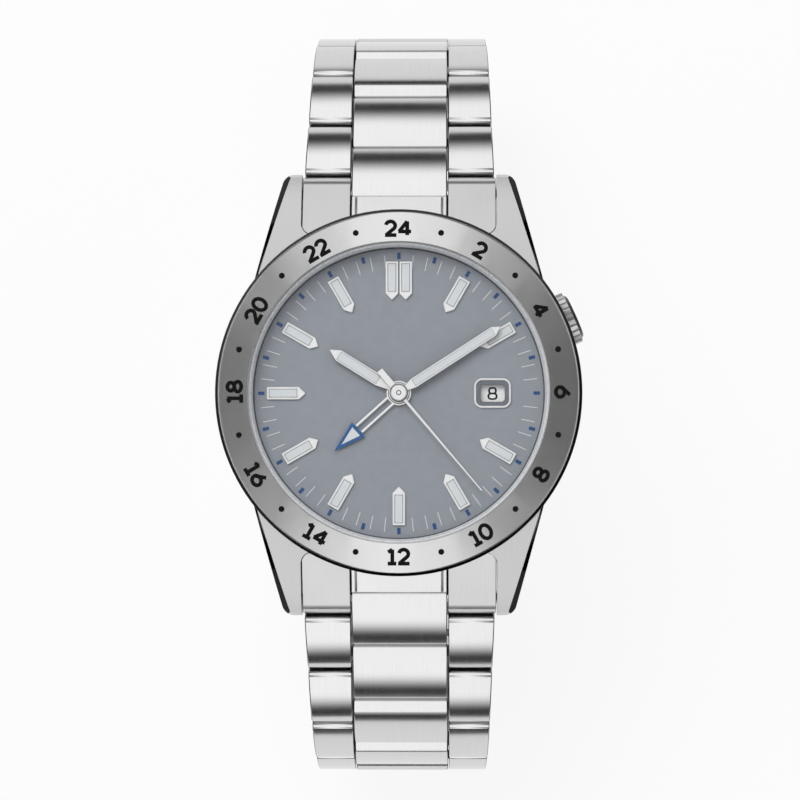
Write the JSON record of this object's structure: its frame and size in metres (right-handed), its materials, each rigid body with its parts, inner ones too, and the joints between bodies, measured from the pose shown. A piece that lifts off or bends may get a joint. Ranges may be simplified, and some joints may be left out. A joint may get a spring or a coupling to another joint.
{
  "type": "world time wristwatch",
  "caption": "Steel wristwatch with a turning 24-hour bezel, hands for hours, minutes, seconds and a second time zone, a date window and a link bracelet closed by a folding clasp.",
  "frame": {"origin": "centre of the flat case back, on the axis of the hands", "axes": "+Z out through the dial, +Y towards 12 o'clock, +X towards 3 o'clock"},
  "size_m": [0.0413, 0.0872, 0.0496],
  "materials": {
    "brushed_steel": "satin brushed along each piece",
    "polished_steel": "polished",
    "dial_paint": "matte blue-grey with a fine grain",
    "lume": "matte luminous paint",
    "blue_paint": "satin blue",
    "black_paint": "satin black",
    "white_paint": "matte white",
    "sapphire": "clear sapphire, low reflection",
    "seal_rubber": "matte black",
    "holder_plastic": "moulded",
    "brass": "fine grained"
  },
  "bodies": {
    "head": {"mid_case": "brushed_steel", "case_back": "brushed_steel", "case_back_gasket": "seal_rubber", "crystal": "sapphire", "crystal_gasket": "seal_rubber", "rehaut_ring": "polished_steel", "dial": "dial_paint", "hour_markers": "polished_steel", "marker_lume": "lume", "date_frame": "black_paint", "movement_holder": "holder_plastic", "main_plate": "brass", "train_bridge": "polished_steel", "crown_tube": "polished_steel", "spring_bars": "polished_steel", "end_link_12": "brushed_steel", "end_link_6": "brushed_steel"},
    "bezel": {"bezel": "brushed_steel"},
    "minute_train": {"minute_hand": "polished_steel", "minute_hand_lume": "lume", "cannon_pinion": "polished_steel"},
    "hour_train": {"hour_hand": "polished_steel", "hour_hand_lume": "lume", "hour_wheel": "brass"},
    "world_train": {"hand_24_hour": "blue_paint", "hand_24_hour_lume": "lume", "wheel_24_hour": "brass"},
    "date_disc": {"date_disc": "white_paint"},
    "seconds_train": {"seconds_hand": "polished_steel", "seconds_arbor": "polished_steel"},
    "setting_lever": {"setting_lever": "polished_steel"},
    "crown": {"crown": "brushed_steel", "winding_stem": "polished_steel"},
    "rotor": {"rotor": "polished_steel"},
    "balance_wheel": {"balance_wheel": "brass"},
    "link_12_1": {"link_12_1": "brushed_steel"},
    "link_12_2": {"link_12_2": "brushed_steel"},
    "link_12_3": {"link_12_3": "brushed_steel"},
    "link_12_4": {"link_12_4": "brushed_steel"},
    "link_12_5": {"link_12_5": "brushed_steel"},
    "link_12_6": {"link_12_6": "brushed_steel"},
    "link_12_7": {"link_12_7": "brushed_steel"},
    "link_6_1": {"link_6_1": "brushed_steel"},
    "link_6_2": {"link_6_2": "brushed_steel"},
    "link_6_3": {"link_6_3": "brushed_steel"},
    "link_6_4": {"link_6_4": "brushed_steel"},
    "link_6_5": {"link_6_5": "brushed_steel"},
    "link_6_6": {"link_6_6": "brushed_steel"},
    "link_6_7": {"link_6_7": "brushed_steel"},
    "short_blade": {"clasp_short_blade": "polished_steel", "clasp_fold_pin": "polished_steel"},
    "long_blade": {"clasp_long_blade": "polished_steel"},
    "cover": {"clasp_cover": "brushed_steel", "clasp_cover_pin": "polished_steel"},
    "button_right": {"clasp_button_right": "brushed_steel"},
    "button_left": {"clasp_button_left": "brushed_steel"}
  },
  "joints": [
    {"name": "bezel_turn", "type": "hinge", "parent": "head", "child": "bezel", "pos_m": [0, 0, 0.009], "axis": [0, 0, 1], "continuous": true},
    {"name": "minute_turn", "type": "hinge", "parent": "head", "child": "minute_train", "pos_m": [0, 0, 0.008], "axis": [0, 0, -1], "continuous": true},
    {"name": "hour_turn", "type": "hinge", "parent": "head", "child": "hour_train", "pos_m": [0, 0, 0.0076], "axis": [0, 0, -1], "continuous": true},
    {"name": "world_turn", "type": "hinge", "parent": "head", "child": "world_train", "pos_m": [0, 0, 0.0073], "axis": [0, 0, -1], "continuous": true},
    {"name": "date_turn", "type": "hinge", "parent": "head", "child": "date_disc", "pos_m": [0, 0, 0.0058], "axis": [0, 0, -1], "continuous": true},
    {"name": "seconds_turn", "type": "hinge", "parent": "head", "child": "seconds_train", "pos_m": [0, 0, 0.0083], "axis": [0, 0, -1], "continuous": true},
    {"name": "crown_pull", "type": "slide", "parent": "head", "child": "setting_lever", "axis": [0.9135, 0.4067, 0], "range_m": [0, 0.0014]},
    {"name": "crown_turn", "type": "hinge", "parent": "setting_lever", "child": "crown", "pos_m": [0, 0, 0.0045], "axis": [0.9135, 0.4067, 0], "continuous": true},
    {"name": "rotor_turn", "type": "hinge", "parent": "head", "child": "rotor", "pos_m": [0, 0, 0.0012], "axis": [0, 0, 1], "continuous": true},
    {"name": "balance_swing", "type": "hinge", "parent": "head", "child": "balance_wheel", "pos_m": [-0.0066, -0.0054, 0.0032], "axis": [0, 0, 1], "range_deg": [-150, 150]},
    {"name": "link_12_1_hinge", "type": "hinge", "parent": "head", "child": "link_12_1", "pos_m": [0, 0.02285, 0.0026], "axis": [1, 0, 0], "range_deg": [0, 33]},
    {"name": "link_12_2_hinge", "type": "hinge", "parent": "link_12_1", "child": "link_12_2", "pos_m": [0, 0.02915, -0.00157], "axis": [1, 0, 0], "range_deg": [0, 6]},
    {"name": "link_12_3_hinge", "type": "hinge", "parent": "link_12_2", "child": "link_12_3", "pos_m": [0, 0.03544, -0.00573], "axis": [1, 0, 0], "range_deg": [0, 24]},
    {"name": "link_12_4_hinge", "type": "hinge", "parent": "link_12_3", "child": "link_12_4", "pos_m": [0, 0.03988, -0.01184], "axis": [1, 0, 0], "range_deg": [0, 25]},
    {"name": "link_12_5_hinge", "type": "hinge", "parent": "link_12_4", "child": "link_12_5", "pos_m": [0, 0.04183, -0.01914], "axis": [1, 0, 0], "range_deg": [0, 33]},
    {"name": "link_12_6_hinge", "type": "hinge", "parent": "link_12_5", "child": "link_12_6", "pos_m": [0, 0.04001, -0.02646], "axis": [1, 0, 0], "range_deg": [0, 33]},
    {"name": "link_12_7_hinge", "type": "hinge", "parent": "link_12_6", "child": "link_12_7", "pos_m": [0, 0.03486, -0.03198], "axis": [1, 0, 0], "range_deg": [0, 31]},
    {"name": "link_6_1_hinge", "type": "hinge", "parent": "head", "child": "link_6_1", "pos_m": [0, -0.02285, 0.0026], "axis": [-1, 0, 0], "range_deg": [0, 33]},
    {"name": "link_6_2_hinge", "type": "hinge", "parent": "link_6_1", "child": "link_6_2", "pos_m": [0, -0.02915, -0.00157], "axis": [-1, 0, 0], "range_deg": [0, 6]},
    {"name": "link_6_3_hinge", "type": "hinge", "parent": "link_6_2", "child": "link_6_3", "pos_m": [0, -0.03544, -0.00573], "axis": [-1, 0, 0], "range_deg": [0, 24]},
    {"name": "link_6_4_hinge", "type": "hinge", "parent": "link_6_3", "child": "link_6_4", "pos_m": [0, -0.03988, -0.01184], "axis": [-1, 0, 0], "range_deg": [0, 25]},
    {"name": "link_6_5_hinge", "type": "hinge", "parent": "link_6_4", "child": "link_6_5", "pos_m": [0, -0.04183, -0.01914], "axis": [-1, 0, 0], "range_deg": [0, 33]},
    {"name": "link_6_6_hinge", "type": "hinge", "parent": "link_6_5", "child": "link_6_6", "pos_m": [0, -0.04001, -0.02646], "axis": [-1, 0, 0], "range_deg": [0, 33]},
    {"name": "link_6_7_hinge", "type": "hinge", "parent": "link_6_6", "child": "link_6_7", "pos_m": [0, -0.03486, -0.03198], "axis": [-1, 0, 0], "range_deg": [0, 31]},
    {"name": "short_blade_hinge", "type": "hinge", "parent": "link_6_7", "child": "short_blade", "pos_m": [0, -0.02776, -0.03456], "axis": [-1, 0, 0], "range_deg": [0, 30]},
    {"name": "clasp_fold", "type": "hinge", "parent": "short_blade", "child": "long_blade", "pos_m": [0, 0.01397, -0.03586], "axis": [1, 0, 0], "range_deg": [0, 150]},
    {"name": "cover_hinge", "type": "hinge", "parent": "long_blade", "child": "cover", "pos_m": [0, -0.02101, -0.03587], "axis": [1, 0, 0], "range_deg": [-150, 0]},
    {"name": "button_right_press", "type": "slide", "parent": "cover", "child": "button_right", "axis": [-1, 0, 0], "range_m": [0, 0.0005], "stiffness_N_per_m": 200},
    {"name": "button_left_press", "type": "slide", "parent": "cover", "child": "button_left", "axis": [1, 0, 0], "range_m": [0, 0.0005], "stiffness_N_per_m": 200}
  ],
  "couplings": [
    {"joint": "hour_turn", "follows": "minute_turn", "ratio": 0.083333},
    {"joint": "world_turn", "follows": "minute_turn", "ratio": 0.041667},
    {"joint": "date_turn", "follows": "minute_turn", "ratio": 0.0013441},
    {"joint": "cover_hinge", "follows": "clasp_fold", "ratio": -1}
  ]
}
